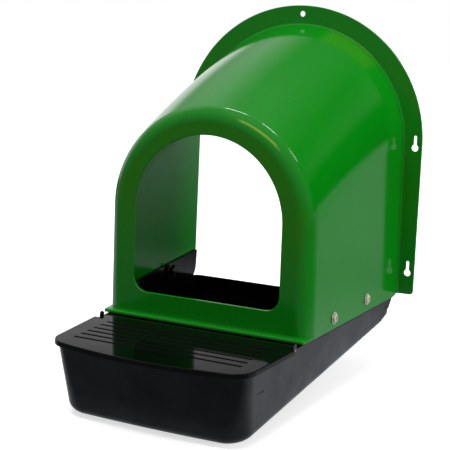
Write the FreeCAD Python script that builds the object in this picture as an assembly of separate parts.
import FreeCAD, Part
import os
from math import sin, cos, tan, atan, sqrt, pi, radians, hypot
from FreeCAD import Vector as V

# Wall-hung roll-away nest box for hens: an arched hood on a wall flange, a tray with a
# sloped floor hung inside and in front of it, a hinged lid over the tray, and a nest mat.
# Millimetres. +X to the right as seen from the front, +Y into the wall, +Z up.
# Built with z = 0 at the bottom edge of the wall flange, then shifted on export so that
# the origin is the centre of the top hanging hole in the wall plane (y = 0).

# ---------------------------------------------------------------- dimensions
# Wall flange
FLANGE_R = 180.0            # arch radius and half width
FLANGE_ARCH_Z = 204.9       # height of the arch centre
FLANGE_T = 3.0
FLANGE_CORNER = 5.0         # radius of the two bottom corners
TOP_HOLE_Z = 373.5          # hanging hole, on the centre line
TOP_HOLE_R = 4.0
KEY_X = 170.2               # keyholes: distance from the centre line
KEY_HEIGHTS = (29.8, 201.7)  # centres of the round ends
KEY_R = 5.5                 # round end
KEY_SLOT_R = 2.75           # half width of the slot
KEY_SLOT_RISE = 14.2        # slot end centre above the round end's centre

# Hood
HOOD_DEPTH = 280.0          # wall plane to front face
WALL_FRONT = 3.5            # wall thickness at the front
WALL_BACK = 2.7             # and at the wall plane
FRONT_ARCH_R, FRONT_ARCH_Z = 135.75, 123.5   # outer arch at the front: radius, centre height
BACK_ARCH_R, BACK_ARCH_Z = 154.7, 205.0      # outer arch at the wall plane
CROWN_R, CROWN_Z = -0.9, 8.9  # how far mid-depth departs from a straight taper
SPLAY = 0.015               # outward lean of the sides going down, per mm of height
HOOD_Z0 = -3.0              # bottom edge of the sides
HOOD_EDGE_R = 21.4          # rounding of the outer front edge
ROOT_R = 3.0                # fillet between hood and flange
MOUTH_R = 8.0               # rounding of the inner edge at the wall plane
MOUTH_TURN = radians(72.0)  # angle that rounding turns through
MOUTH_OVER = 1.0            # overrun of the mouth cut past the wall plane
HOLLOW_Z0 = -20.0           # bottom of the hollow, below the hood's open underside

ENTRANCE_R = 99.0           # half width and arch radius
ENTRANCE_ARCH_Z = 131.3     # height of the arch centre
SILL_Z = 28.1
ENTRANCE_CORNER = 18.0

LIP_FRONT = -289.5          # out-turned lip under the hood's front
LIP_BACK = -262.0
LIP_HALF = 136.2            # half width at its front edge
LIP_TOP = 1.2
LIP_EDGE_R = 1.2            # rounding of the top front edge
LIP_OVERLAP = 0.1           # how far its rear corners stand beyond the hood's sides

# Lid
FLARE = 0.0755              # widening of tray and lid per mm towards the wall, per side
LID_HALF_REF, LID_Y_REF = 129.0, -392.0   # half width at a reference depth
LID_BOW_Y = -439.0          # foremost point of the bowed front edge
LID_BOW_R = 460.0
LID_CORNER = 27.0
LID_REAR_CORNER = 2.0
LID_REAR_Y = -294.8
LID_TOP = -3.3
LID_EDGE_R = 1.0            # rounding of the top edge
LID_PLATE = 3.0
LID_SKIRT = 6.0             # height of the skirt, plate included
LID_SKIRT_T = 2.0
GROOVE_DEPTHS = (-398.0, -383.1, -369.0, -355.1, -340.3, -326.3)   # y of each groove
GROOVE_HALF = 108.7         # half length
GROOVE_R = 2.0              # half width
GROOVE_D = 1.6

# Tray
TRAY_INSET = 3.8            # tray wall inside the lid outline
TRAY_T = 3.0                # walls and floor
TRAY_RIM = -6.7             # rim height under the lid
TRAY_LIP_RIM = -4.6         # rim height under the hood lip
RIM_DIP = 0.6               # the rim starts this much lower behind the lugs
TRAY_DRAFT = 0.085          # inward lean of the side walls going down
TRAY_FRONT_Y = -412.35      # front bottom edge
TRAY_FRONT_Z = -95.2
FLOOR_SLOPE = 0.147         # rise of the floor towards the wall
TRAY_EDGE_R = 12.8          # rounding between walls and floor
TRAY_CORNER_TOP = 24.1      # front corner radius at the rim
TRAY_CORNER_LOW = 32.0      # and at the bottom
TRAY_REAR_Y = -17.2         # outside of the back wall
TRAY_REAR_CORNER = 16.0
TRAY_REAR_R = 33.0          # rounding between floor and back wall
TRAY_REAR_OVER = 4.0        # that rounding's centre lies this far behind a tangent one
WALLS_BOTTOM = -100.0       # walls are lofted down to here, then cut by the floor
LUG_LOFT_TOP = 30.0         # lugs are lofted up to here, then trimmed
SHOULDER_Z = HOOD_Z0 - 1.0  # shoulder under the hood's bottom edge
BACK_RIM = -12.5            # top edge of the back wall
BACK_RIM_FRONT = -55.0      # front of the cut that lowers the back wall
BACK_RIM_MARGIN = 8.0       # wall left standing at each end of that cut
EAR_FRONT_Y, EAR_REAR_Y = -262.0, -12.0    # ears inside the hood
EAR_FRONT_RUN = 10.0        # depth over which an ear's front edge rises
EAR_Z_FRONT, EAR_Z_REAR = 20.0, 25.0
EAR_GAP = 0.3               # between an ear and the hood's inner side
DASH_Y = (-386.0, -372.0)   # shallow dash in each side wall: depth range
DASH_Z = (-36.5, -34.5)
DASH_CUT = (-0.6, 2.4)      # x range of its cut, outwards from the wall's face

# Hinge
HINGE_Y, HINGE_Z = -303.0, -6.4
LUG_R = 5.2                 # half width of a tray lug
LUG_TOP = 1.6
LUG_SIDE_GAP = 1.5          # between a lug and the lid boss beside it
NOTCH_FRONT = 12.0          # front edge of a lid notch ahead of the hinge axis
NOTCH_W = 12.0
BOSS_R, BOSS_L = 3.9, 10.0
BOSS_WEB_H = 3.0            # block joining a boss to the lid plate
PIN_R = 1.75
PIN_GAP = 0.05              # running clearance in the lug
PIN_IN_BOSS = 8.0
PIN_PROUD = 0.6             # pin end beyond the lug
PIN_CHAMFER = 0.4

# Screws through hood and ear
SCREWS = {"front": (-207.0, 10.8), "rear": (-107.0, 13.3)}   # y, z on the hood's side
SCREW_R, SCREW_L = 2.9, 20.0
SCREW_TIP = 0.6             # chamfer
SCREW_HOLE_R = 3.1
HEAD_R, HEAD_H, HEAD_EDGE_R = 5.6, 2.6, 1.9
CROSS_L, CROSS_W, CROSS_D = 6.0, 1.3, 1.4
WASHER_R, WASHER_T = 7.8, 1.3
WASHER_BORE_GAP = 0.25
WASHER_EDGE_R = 0.35
NUT_R, NUT_H = 5.0, 4.6
NUT_TAPER = 0.8             # radius lost over the nut's height
NUT_BORE_GAP = 0.05
WING_SPAN, WING_T, WING_H = 18.0, 2.4, 7.2
OUTER_WASHER_LIFT = 0.02    # washer off the hood
HEAD_LIFT = 0.07            # head seat off the hood, beyond the washer's thickness
INNER_WASHER_LIFT = 0.12    # washer off the ear
NUT_LIFT = 0.20             # nut seat off the ear, beyond the washer's thickness

# Nest mat
MAT_Y = (-268.0, -58.0)
MAT_T = 6.0
MAT_SIDE_GAP = 9.5
MAT_CORNER = 14.0
MAT_LIFT = 0.3              # clearance over the floor

HALF_SPAN = 220.0           # half width of blocks that reach right across the product
SIDES = {"left": -1, "right": 1}


# ---------------------------------------------------------------- helpers
def wire(edges):
    return Part.Wire(Part.__sortEdges__(edges))


def line(start, end):
    return Part.makeLine(start, end)


def arc(start, middle, end):
    return Part.Arc(start, middle, end).toShape()


def box(x_ends, y_ends, z_ends):
    """Box between pairs of coordinates, each pair in either order."""
    ends = [sorted(pair) for pair in (x_ends, y_ends, z_ends)]
    size = [high - low for low, high in ends]
    return Part.makeBox(*size, V(*[low for low, high in ends]))


def side_lines(*points):
    """Lines through (y, z) points in the plane x = 0."""
    vectors = [V(0, y, z) for y, z in points]
    return [line(a, b) for a, b in zip(vectors, vectors[1:])]


def side_slab(edges, width):
    """Closed profile in the plane x = 0, thickened evenly to both sides."""
    slab = Part.Face(wire(edges)).extrude(V(width, 0, 0))
    slab.translate(V(-width / 2, 0, 0))
    return slab


def circles(shape):
    return [e for e in shape.Edges if len(e.Vertexes) == 1 and e.Length > 1]


def single_solid(shape):
    solids = shape.Solids
    return solids[0] if len(solids) == 1 else shape


def hinge_rod(side, radius, x_start, x_end):
    """Cylinder on the hinge axis, between two distances from the centre line."""
    start = V(side * x_start, HINGE_Y, HINGE_Z)
    return Part.makeCylinder(radius, x_end - x_start, start, V(side, 0, 0))


def half_width(y):
    """Half width of the lid's outline, extended towards the wall, at depth y."""
    return LID_HALF_REF + FLARE * (y - LID_Y_REF)


def floor_z(y):
    """Height of the tray floor's underside."""
    return TRAY_FRONT_Z + FLOOR_SLOPE * (y - TRAY_FRONT_Y)


# ---------------------------------------------------------------- hood sections
def hood_arch(y):
    """Outer arch radius and centre height of the hood at depth y."""
    t = (y + HOOD_DEPTH) / HOOD_DEPTH
    crown = 4.0 * t * (1.0 - t)
    return (FRONT_ARCH_R + (BACK_ARCH_R - FRONT_ARCH_R) * t + CROWN_R * crown,
            FRONT_ARCH_Z + (BACK_ARCH_Z - FRONT_ARCH_Z) * t + CROWN_Z * crown)


def wall_at(y):
    """Thickness of the hood's arched wall at depth y."""
    return WALL_FRONT + (WALL_BACK - WALL_FRONT) * (y + HOOD_DEPTH) / HOOD_DEPTH


def hood_half(y, z):
    """Outer half width of the hood's side at depth y and height z below the arch."""
    radius, centre_z = hood_arch(y)
    lean = atan(SPLAY)
    return radius * cos(lean) + SPLAY * (centre_z + radius * sin(lean) - z)


def arch_wire(y, inset, z_bottom):
    """Closed arch section at depth y: bottom line, two leaning sides, one arc."""
    radius, centre_z = hood_arch(y)
    radius -= inset
    lean = atan(SPLAY)
    x_top, z_top = radius * cos(lean), centre_z + radius * sin(lean)
    x_bottom = x_top + SPLAY * (z_top - z_bottom)
    right_low, right_high = V(x_bottom, y, z_bottom), V(x_top, y, z_top)
    left_low, left_high = V(-x_bottom, y, z_bottom), V(-x_top, y, z_top)
    return wire([line(left_low, right_low), line(right_low, right_high),
                 arc(right_high, V(0, y, centre_z + radius), left_high),
                 line(left_high, left_low)])


def arch_block(y_front, y_back, inset_at, z_bottom, spans=6):
    """Crowned block between two depths, inset from the hood's outside by inset_at(y)."""
    depths = [y_front + (y_back - y_front) * i / spans for i in range(spans + 1)]
    return Part.makeLoft([arch_wire(y, inset_at(y), z_bottom) for y in depths], True, False)


def round_front(block, radius, y_front, z_bottom):
    """Round the front edge of an arch block, except along its bottom."""
    edges = [e for e in block.Edges
             if all(abs(v.Point.y - y_front) < 1e-4 for v in e.Vertexes)
             and not all(abs(v.Point.z - z_bottom) < 1e-4 for v in e.Vertexes)]
    return block.makeFillet(radius, edges)


# ---------------------------------------------------------------- hood
def arched_face(half, z_bottom, arch_z, corner, y):
    """Upright face with a semicircular top and rounded bottom corners."""
    k = corner * (1 - sqrt(0.5))
    low, inner = z_bottom + corner, half - corner
    return Part.Face(wire([
        line(V(-inner, y, z_bottom), V(inner, y, z_bottom)),
        arc(V(inner, y, z_bottom), V(half - k, y, z_bottom + k), V(half, y, low)),
        line(V(half, y, low), V(half, y, arch_z)),
        arc(V(half, y, arch_z), V(0, y, arch_z + half), V(-half, y, arch_z)),
        line(V(-half, y, arch_z), V(-half, y, low)),
        arc(V(-half, y, low), V(-half + k, y, z_bottom + k), V(-inner, y, z_bottom))]))


def hood_hollow():
    """Inside of the hood, up to where the mouth rounding starts."""
    y_front = -HOOD_DEPTH + WALL_FRONT
    block = arch_block(y_front, -MOUTH_R, wall_at, HOLLOW_Z0)
    return round_front(block, HOOD_EDGE_R - WALL_FRONT, y_front, HOLLOW_Z0)


def hood_mouth():
    """Cut that rounds the inner edge at the wall plane and runs out tangentially."""
    wall = wall_at(-MOUTH_R)
    sections = []
    for part in (0.0, 0.25, 0.5, 0.75, 1.0):
        a = part * MOUTH_TURN
        sections.append(arch_wire(-MOUTH_R + MOUTH_R * sin(a),
                                  wall - MOUTH_R * (1 - cos(a)), HOLLOW_Z0))
    run_out = MOUTH_OVER + MOUTH_R * (1 - sin(MOUTH_TURN))
    inset = wall - MOUTH_R * (1 - cos(MOUTH_TURN)) - tan(MOUTH_TURN) * run_out
    sections.append(arch_wire(MOUTH_OVER, inset, HOLLOW_Z0))
    return Part.makeLoft(sections, True, False)


def hood_lip():
    """Out-turned lip with square corners in plan."""
    rear = hood_half(LIP_BACK, 0.0) + LIP_OVERLAP
    corners = [V(-LIP_HALF, LIP_FRONT, HOOD_Z0), V(LIP_HALF, LIP_FRONT, HOOD_Z0),
               V(rear, LIP_BACK, HOOD_Z0), V(-rear, LIP_BACK, HOOD_Z0)]
    outline = Part.makePolygon(corners + [corners[0]])
    lip = Part.Face(outline).extrude(V(0, 0, LIP_TOP - HOOD_Z0))
    top_front = [e for e in lip.Edges
                 if all(abs(v.Point.z - LIP_TOP) < 1e-4 and v.Point.y < LIP_FRONT + 1e-3
                        for v in e.Vertexes)]
    return lip.makeFillet(LIP_EDGE_R, top_front)


def root_edges(body):
    """Edges where the hood's outside meets the front of the flange."""
    limit = BACK_ARCH_R + 8
    return [e for e in body.Edges
            if abs(e.BoundBox.YMin + FLANGE_T) < 1e-3 and abs(e.BoundBox.YMax + FLANGE_T) < 1e-3
            and abs(e.CenterOfMass.x) < limit and e.CenterOfMass.z > 1
            and e.BoundBox.ZMax < FLANGE_ARCH_Z + limit]


def flange_hole(radius, x, z):
    return Part.makeCylinder(radius, 20, V(x, 10, z), V(0, -1, 0))


def hood_holes():
    """Hanging hole, keyholes and screw holes."""
    cuts = [flange_hole(TOP_HOLE_R, 0, TOP_HOLE_Z)]
    for side in SIDES.values():
        x = side * KEY_X
        for z in KEY_HEIGHTS:
            cuts.append(flange_hole(KEY_R, x, z))
            cuts.append(flange_hole(KEY_SLOT_R, x, z + KEY_SLOT_RISE))
            cuts.append(box((x - KEY_SLOT_R, x + KEY_SLOT_R), (-10, 10), (z, z + KEY_SLOT_RISE)))
        cuts += screw_holes(side)
    return cuts


def make_hood():
    outer = arch_block(-HOOD_DEPTH, 0.0, lambda y: 0.0, HOOD_Z0)
    outer = round_front(outer, HOOD_EDGE_R, -HOOD_DEPTH, HOOD_Z0)
    flange = arched_face(FLANGE_R, 0, FLANGE_ARCH_Z, FLANGE_CORNER, 0)
    body = outer.fuse(flange.extrude(V(0, -FLANGE_T, 0)))
    body = body.makeFillet(ROOT_R, root_edges(body))
    body = body.fuse(hood_lip()).cut(hood_hollow()).cut(hood_mouth())
    entrance = arched_face(ENTRANCE_R, SILL_Z, ENTRANCE_ARCH_Z, ENTRANCE_CORNER,
                           -HOOD_DEPTH - 30)
    body = body.cut(entrance.extrude(V(0, 70, 0)))
    body = body.cut(hood_holes())
    return single_solid(body.removeSplitter())


# ---------------------------------------------------------------- plan outline of tray and lid
def plan_wire(front_y, side_x, rear_y, corner, rear_corner, z):
    """Closed outline at height z: front curve front_y(x), flared sides side_x(y),
    straight rear, and a tangent arc at each corner."""
    stretch = hypot(1, FLARE)

    def corner_x(y):
        return side_x(y) - corner * stretch

    def distance(x, centre_x, centre_y):
        return hypot(x - centre_x, front_y(x) - centre_y)

    def nearest_x(centre_x, centre_y):
        """x of the front curve's point nearest to a centre."""
        tries = [centre_x - 20 + 0.02 * i for i in range(3001)]
        return min(tries, key=lambda x: distance(x, centre_x, centre_y))

    # bisect for the depth at which the corner circle just touches the front curve
    base = front_y(side_x(-400) - corner)
    low, high = base + 1.0, base + 2.5 * corner
    for _ in range(40):
        middle = 0.5 * (low + high)
        x = corner_x(middle)
        if distance(nearest_x(x, middle), x, middle) < corner:
            low = middle
        else:
            high = middle
    centre_y = 0.5 * (low + high)
    centre_x = corner_x(centre_y)
    touch_x = nearest_x(centre_x, centre_y)

    front_end = V(touch_x, front_y(touch_x), z)
    to_front = V(touch_x - centre_x, front_y(touch_x) - centre_y, 0)
    to_front.normalize()
    to_side = V(1, -FLARE, 0)
    to_side.normalize()
    diagonal = to_front + to_side
    diagonal.normalize()
    front_centre = V(centre_x, centre_y, z)
    front_mid = front_centre + diagonal * corner
    side_front = front_centre + to_side * corner

    rear_centre_y = rear_y - rear_corner
    rear_centre = V(side_x(rear_centre_y) - rear_corner * stretch, rear_centre_y, z)
    diagonal = to_side + V(0, 1, 0)
    diagonal.normalize()
    side_rear = rear_centre + to_side * rear_corner
    rear_mid = rear_centre + diagonal * rear_corner
    rear_end = rear_centre + V(0, 1, 0) * rear_corner

    def mirror(p):
        return V(-p.x, p.y, p.z)

    if abs(front_y(50.0) - front_y(0.0)) > 1e-6:
        front = arc(mirror(front_end), V(0, front_y(0.0), z), front_end)
    else:
        front = line(mirror(front_end), front_end)
    return Part.Wire([
        front,
        arc(front_end, front_mid, side_front),
        line(side_front, side_rear),
        arc(side_rear, rear_mid, rear_end),
        line(rear_end, mirror(rear_end)),
        arc(mirror(rear_end), mirror(rear_mid), mirror(side_rear)),
        line(mirror(side_rear), mirror(side_front)),
        arc(mirror(side_front), mirror(front_mid), mirror(front_end))])


# ---------------------------------------------------------------- tray
def tray_ring(inset, z, shape_z):
    """Outline placed at height z, shaped as the tray is at shape_z (rim or lower)."""
    down = (shape_z - TRAY_RIM) / (TRAY_FRONT_Z - TRAY_RIM)   # 0 at the rim, 1 at the bottom
    rim_y = LID_BOW_Y + TRAY_INSET
    middle_y = rim_y + (TRAY_FRONT_Y - rim_y) * down
    bow = 1.0 / (2 * LID_BOW_R) * max(1.0 - down, 0.0)        # fades to a straight front
    lean = TRAY_DRAFT * (shape_z - TRAY_RIM)
    corner = TRAY_CORNER_TOP - inset + (TRAY_CORNER_LOW - TRAY_CORNER_TOP) * down
    return plan_wire(lambda x: middle_y + inset + bow * x * x,
                     lambda y: half_width(y) - TRAY_INSET - inset + lean,
                     TRAY_REAR_Y - inset, corner, TRAY_REAR_CORNER - inset, z)


def tray_upper(inset):
    """Upright part above the rim height: a shoulder all round, and the hinge lugs."""
    def riser(z_top):
        rings = [tray_ring(inset, z_top, TRAY_RIM), tray_ring(inset, TRAY_RIM, TRAY_RIM)]
        return Part.makeLoft(rings, True, True)

    lugs = riser(LUG_LOFT_TOP).common(
        box((-HALF_SPAN, HALF_SPAN), (HINGE_Y - LUG_R - 1, HINGE_Y + LUG_R + 1), (-40, 40)))
    return riser(SHOULDER_Z).fuse(lugs)


def tray_lower(inset):
    """Tapered part below the rim, with the sloped and rounded underside."""
    block = Part.makeLoft([tray_ring(inset, TRAY_RIM, TRAY_RIM),
                           tray_ring(inset, WALLS_BOTTOM, WALLS_BOTTOM)], True, True)
    slope = atan(FLOOR_SLOPE)
    lift = inset / cos(slope)
    # rear rounding: tangent to the floor, meeting the back wall at a shallow angle
    wall_y = TRAY_REAR_Y - inset
    radius = TRAY_REAR_R - inset
    centre_y = wall_y + TRAY_REAR_OVER - radius
    centre_z = floor_z(centre_y) + lift + radius / cos(slope)
    tangent = (centre_y + radius * sin(slope), centre_z - radius * cos(slope))
    half_turn = (slope - pi / 2) / 2.0
    arc_mid = V(0, centre_y + radius * cos(half_turn), centre_z + radius * sin(half_turn))
    arc_end = (centre_y + radius, centre_z)
    front, back, bottom = -460.0, wall_y + 30, -160
    start = (front, floor_z(front) + lift)
    below = side_slab(
        side_lines(start, tangent)
        + [arc(V(0, *tangent), arc_mid, V(0, *arc_end))]
        + side_lines(arc_end, (back, centre_z), (back, bottom), (front, bottom), start),
        2 * HALF_SPAN)
    block = block.cut(below)

    floor_edges = [e for e in block.Edges
                   if all(abs(v.Point.z - floor_z(v.Point.y) - lift) < 0.02 for v in e.Vertexes)
                   and e.CenterOfMass.y < tangent[0] - 0.5]
    # guards against a failed fillet: the edges round the floor then stay square
    try:
        block = block.makeFillet(TRAY_EDGE_R - inset, floor_edges)
    except Exception:
        pass
    return block


def tray_side_view():
    """Slab with the side view of the tray: front rim, lug, rim under the lip, ear."""
    bottom, front = -150, -470
    lug_front, lug_back = HINGE_Y - LUG_R, HINGE_Y + LUG_R
    lug_z = LUG_TOP - LUG_R
    return side_slab(
        side_lines((front, bottom), (front, TRAY_RIM), (lug_front, TRAY_RIM), (lug_front, lug_z))
        + [arc(V(0, lug_front, lug_z), V(0, HINGE_Y, LUG_TOP), V(0, lug_back, lug_z))]
        + side_lines((lug_back, lug_z), (lug_back, TRAY_LIP_RIM - RIM_DIP),
                     (EAR_FRONT_Y, TRAY_LIP_RIM), (EAR_FRONT_Y + EAR_FRONT_RUN, EAR_Z_FRONT),
                     (0, EAR_Z_REAR), (0, bottom), (front, bottom)),
        2 * HALF_SPAN)


def tray_ears():
    """Ears parallel to the hood's sides, standing on the side walls."""
    def sleeve(gap):
        return arch_block(EAR_FRONT_Y, EAR_REAR_Y, lambda y: wall_at(y) + gap, TRAY_RIM)

    ears = sleeve(EAR_GAP).cut(sleeve(EAR_GAP + TRAY_T))
    return ears.common(box((-HALF_SPAN, HALF_SPAN), (-300, 0), (TRAY_RIM, TRAY_RIM + 60)))


def make_tray():
    lower = tray_lower(0.0).cut(tray_lower(TRAY_T))
    upper = tray_upper(0.0).cut(tray_upper(TRAY_T))
    body = lower.fuse([upper, tray_ears()]).common(tray_side_view())
    # low back wall between the ears
    half = half_width(-40) - TRAY_INSET - TRAY_T - BACK_RIM_MARGIN
    body = body.cut(box((-half, half), (BACK_RIM_FRONT, BACK_RIM_FRONT + 60),
                        (BACK_RIM, BACK_RIM + 60)))
    dash_x = half_width(-379) - TRAY_INSET - TRAY_DRAFT * 30   # wall's outside at the dash
    cuts = []
    for side in SIDES.values():
        cuts.append(hinge_rod(side, PIN_R + PIN_GAP, 110, 170))
        cuts += screw_holes(side)
        cuts.append(box([side * (dash_x + d) for d in DASH_CUT], DASH_Y, DASH_Z))
    body = body.cut(cuts)
    return single_solid(body.removeSplitter())


# ---------------------------------------------------------------- lid and hinge pins
LUG_INNER_X = half_width(HINGE_Y) - TRAY_INSET - TRAY_T
BOSS_END_X = LUG_INNER_X - LUG_SIDE_GAP


def lid_face(inset, rear_y, z):
    outline = plan_wire(lambda x: LID_BOW_Y + inset + x * x / (2 * LID_BOW_R),
                        lambda y: half_width(y) - inset,
                        rear_y, LID_CORNER - inset, LID_REAR_CORNER, z)
    return Part.Face(outline)


def lid_groove(y):
    z = LID_TOP - GROOVE_D
    x = GROOVE_HALF - GROOVE_R
    groove = box((-x, x), (y - GROOVE_R, y + GROOVE_R), (z, z + 10))
    return groove.fuse([Part.makeCylinder(GROOVE_R, 10, V(-x, y, z)),
                        Part.makeCylinder(GROOVE_R, 10, V(x, y, z))])


def lid_boss(side):
    """Boss for a hinge pin, with a block joining it to the plate."""
    start = BOSS_END_X - BOSS_L
    boss = hinge_rod(side, BOSS_R, start, BOSS_END_X)
    boss = boss.fuse(box((side * start, side * BOSS_END_X),
                         (HINGE_Y - BOSS_R, HINGE_Y + BOSS_R),
                         (HINGE_Z, HINGE_Z + BOSS_WEB_H)))
    return boss.cut(box((-200, 200), (HINGE_Y - 50, HINGE_Y + 50), (LID_TOP, LID_TOP + 40)))


def make_lid():
    block = lid_face(0.0, LID_REAR_Y, LID_TOP).extrude(V(0, 0, -LID_SKIRT))
    top_edges = [e for e in block.Edges
                 if abs(e.BoundBox.ZMin - LID_TOP) < 1e-4 and abs(e.BoundBox.ZMax - LID_TOP) < 1e-4
                 and e.CenterOfMass.y < LID_REAR_Y - 2]
    block = block.makeFillet(LID_EDGE_R, top_edges)
    # the hollow runs out past the rear, so there is no skirt there
    hollow = lid_face(LID_SKIRT_T, LID_REAR_Y + 30, LID_TOP - LID_PLATE)
    block = block.cut(hollow.extrude(V(0, 0, -30)))
    for y in GROOVE_DEPTHS:
        block = block.cut(lid_groove(y))
    # a notch for each tray lug, and a boss beside it
    notch_y = HINGE_Y - NOTCH_FRONT
    for side in SIDES.values():
        block = block.cut(box((side * BOSS_END_X, side * (BOSS_END_X + NOTCH_W)),
                              (notch_y, notch_y + 40), (-20, 20)))
        block = block.fuse(lid_boss(side))
    for side in SIDES.values():
        block = block.cut(hinge_rod(side, PIN_R, BOSS_END_X - PIN_IN_BOSS, BOSS_END_X))
    return single_solid(block.removeSplitter())


def make_pin(side):
    end_x = LUG_INNER_X + TRAY_T + PIN_PROUD
    pin = hinge_rod(side, PIN_R, BOSS_END_X - PIN_IN_BOSS, end_x)
    outer_end = [e for e in circles(pin) if abs(abs(e.CenterOfMass.x) - end_x) < 1e-3]
    return pin.makeChamfer(PIN_CHAMFER, outer_end)


# ---------------------------------------------------------------- fasteners
def screw_axis(side, y, z):
    """Point on the hood's outer side at a screw, and the side's outward normal."""
    spread = (hood_half(y + 1, z) - hood_half(y - 1, z)) / 2.0
    normal = V(side, -spread, SPLAY)
    normal.normalize()
    return V(side * hood_half(y, z), y, z), normal


def screw_holes(side):
    """Cylinders that cut one side's screw holes through hood and ear."""
    holes = []
    for y, z in SCREWS.values():
        point, normal = screw_axis(side, y, z)
        holes.append(Part.makeCylinder(SCREW_HOLE_R, 60, point - normal * 30, normal))
    return holes


def on_axis(shape, point, normal, offset):
    """Turn a shape built along +Z onto a screw axis, offset outwards from the hood."""
    turn = FreeCAD.Rotation(V(0, 0, 1), normal)
    shape.Placement = FreeCAD.Placement(point + normal * offset, turn)
    return shape


def make_screw(point, normal):
    """Round-headed screw with a cross recess."""
    head = Part.makeCylinder(HEAD_R, HEAD_H, V(0, 0, 0))
    rim = [e for e in circles(head) if abs(e.CenterOfMass.z - HEAD_H) < 1e-4]
    head = head.makeFillet(HEAD_EDGE_R, rim)
    length, width = (-CROSS_L / 2, CROSS_L / 2), (-CROSS_W / 2, CROSS_W / 2)
    recess_z = HEAD_H - CROSS_D
    for x_ends, y_ends in ((length, width), (width, length)):
        head = head.cut(box(x_ends, y_ends, (recess_z, recess_z + 2)))
    shank = Part.makeCylinder(SCREW_R, SCREW_L, V(0, 0, -SCREW_L))
    tip = [e for e in circles(shank) if abs(e.CenterOfMass.z + SCREW_L) < 1e-4]
    shank = shank.makeChamfer(SCREW_TIP, tip)
    screw = single_solid(head.fuse(shank).removeSplitter())
    return on_axis(screw, point, normal, WASHER_T + HEAD_LIFT)


def make_washer(point, normal, offset):
    """Washer whose face nearer the centre line is at the offset."""
    washer = Part.makeCylinder(WASHER_R, WASHER_T)
    washer = washer.cut(Part.makeCylinder(SCREW_R + WASHER_BORE_GAP, WASHER_T))
    rim = [e for e in circles(washer) if e.Length > 2 * pi * WASHER_R - 1]
    return on_axis(washer.makeFillet(WASHER_EDGE_R, rim), point, normal, offset)


def nut_wing(k):
    """One wing, towards k * Y from a nut that extends down -Z from its seat."""
    half = WING_SPAN / 2.0
    tip_start, tip_end = (k * half, -3.5), (k * (half - 1.6), -WING_H)
    root = (k * 2, -1.0)
    return side_slab(
        side_lines(root, (k * 6.0, -1.0), tip_start)
        + [arc(V(0, *tip_start), V(0, k * (half + 0.2), -6.0), V(0, *tip_end))]
        + side_lines(tip_end, (k * 4.5, -WING_H + 1.5), (k * 2, -NUT_H + 0.2), root),
        WING_T)


def make_wing_nut(point, normal, offset):
    """Wing nut whose seat is at the offset, wings upright."""
    core = Part.makeCone(NUT_R, NUT_R - NUT_TAPER, NUT_H, V(0, 0, 0), V(0, 0, -1))
    body = core.fuse([nut_wing(-1), nut_wing(1)])
    body = body.cut(Part.makeCylinder(SCREW_R + NUT_BORE_GAP, 40, V(0, 0, -20)))
    body = single_solid(body.removeSplitter())
    # the nut's Y goes as near upright as the axis allows
    up = V(0, 0, 1)
    y_axis = up - normal * up.dot(normal)
    y_axis.normalize()
    x_axis = y_axis.cross(normal)
    placement = FreeCAD.Placement(FreeCAD.Matrix(
        x_axis.x, y_axis.x, normal.x, 0,
        x_axis.y, y_axis.y, normal.y, 0,
        x_axis.z, y_axis.z, normal.z, 0,
        0, 0, 0, 1))
    placement.Base = point + normal * offset
    body.Placement = placement
    return body


def make_fasteners(side_name, place):
    """Screw, two washers and wing nut at one station, by piece name."""
    y, z = SCREWS[place]
    point, normal = screw_axis(SIDES[side_name], y, z)
    # back of the inner washer, were it tight against the ear's inside
    inside = -(wall_at(y) + EAR_GAP + TRAY_T) * abs(normal.x) - WASHER_T
    key = side_name + "_" + place
    return {
        "screw_" + key: make_screw(point, normal),
        "washer_outer_" + key: make_washer(point, normal, OUTER_WASHER_LIFT),
        "washer_inner_" + key: make_washer(point, normal, inside - INNER_WASHER_LIFT),
        "wing_nut_" + key: make_wing_nut(point, normal, inside - NUT_LIFT)}


# ---------------------------------------------------------------- nest mat
def make_mat():
    """Flat mat lying on the sloped floor inside the hood."""
    def half(y):
        return (half_width(y) - TRAY_INSET - TRAY_T - MAT_SIDE_GAP
                + TRAY_DRAFT * floor_z(y))

    front, back = MAT_Y
    corners = [V(-half(front), front, 0), V(half(front), front, 0),
               V(half(back), back, 0), V(-half(back), back, 0)]
    sheet = Part.Face(Part.makePolygon(corners + [corners[0]])).extrude(V(0, 0, MAT_T))
    upright = [e for e in sheet.Edges
               if abs(e.Vertexes[0].Point.z - e.Vertexes[1].Point.z) > 1]
    sheet = sheet.makeFillet(MAT_CORNER, upright)
    # shear z by the floor's slope and lift the sheet onto the floor
    shear = FreeCAD.Matrix()
    shear.A32 = FLOOR_SLOPE
    shear.A34 = floor_z(0.0) + (TRAY_T + MAT_LIFT) / cos(atan(FLOOR_SLOPE))
    return single_solid(sheet.transformGeometry(shear))


# ---------------------------------------------------------------- write
def main():
    os.makedirs("parts", exist_ok=True)
    pieces = {"hood": make_hood(), "tray": make_tray(), "lid": make_lid(),
              "nest_mat": make_mat()}
    for side_name, side in SIDES.items():
        pieces["hinge_pin_" + side_name] = make_pin(side)
        for place in SCREWS:
            pieces.update(make_fasteners(side_name, place))
    for name, shape in pieces.items():
        shape = shape.copy()
        shape.translate(V(0, 0, -TOP_HOLE_Z))
        shape.exportStep("parts/" + name + ".step")


main()
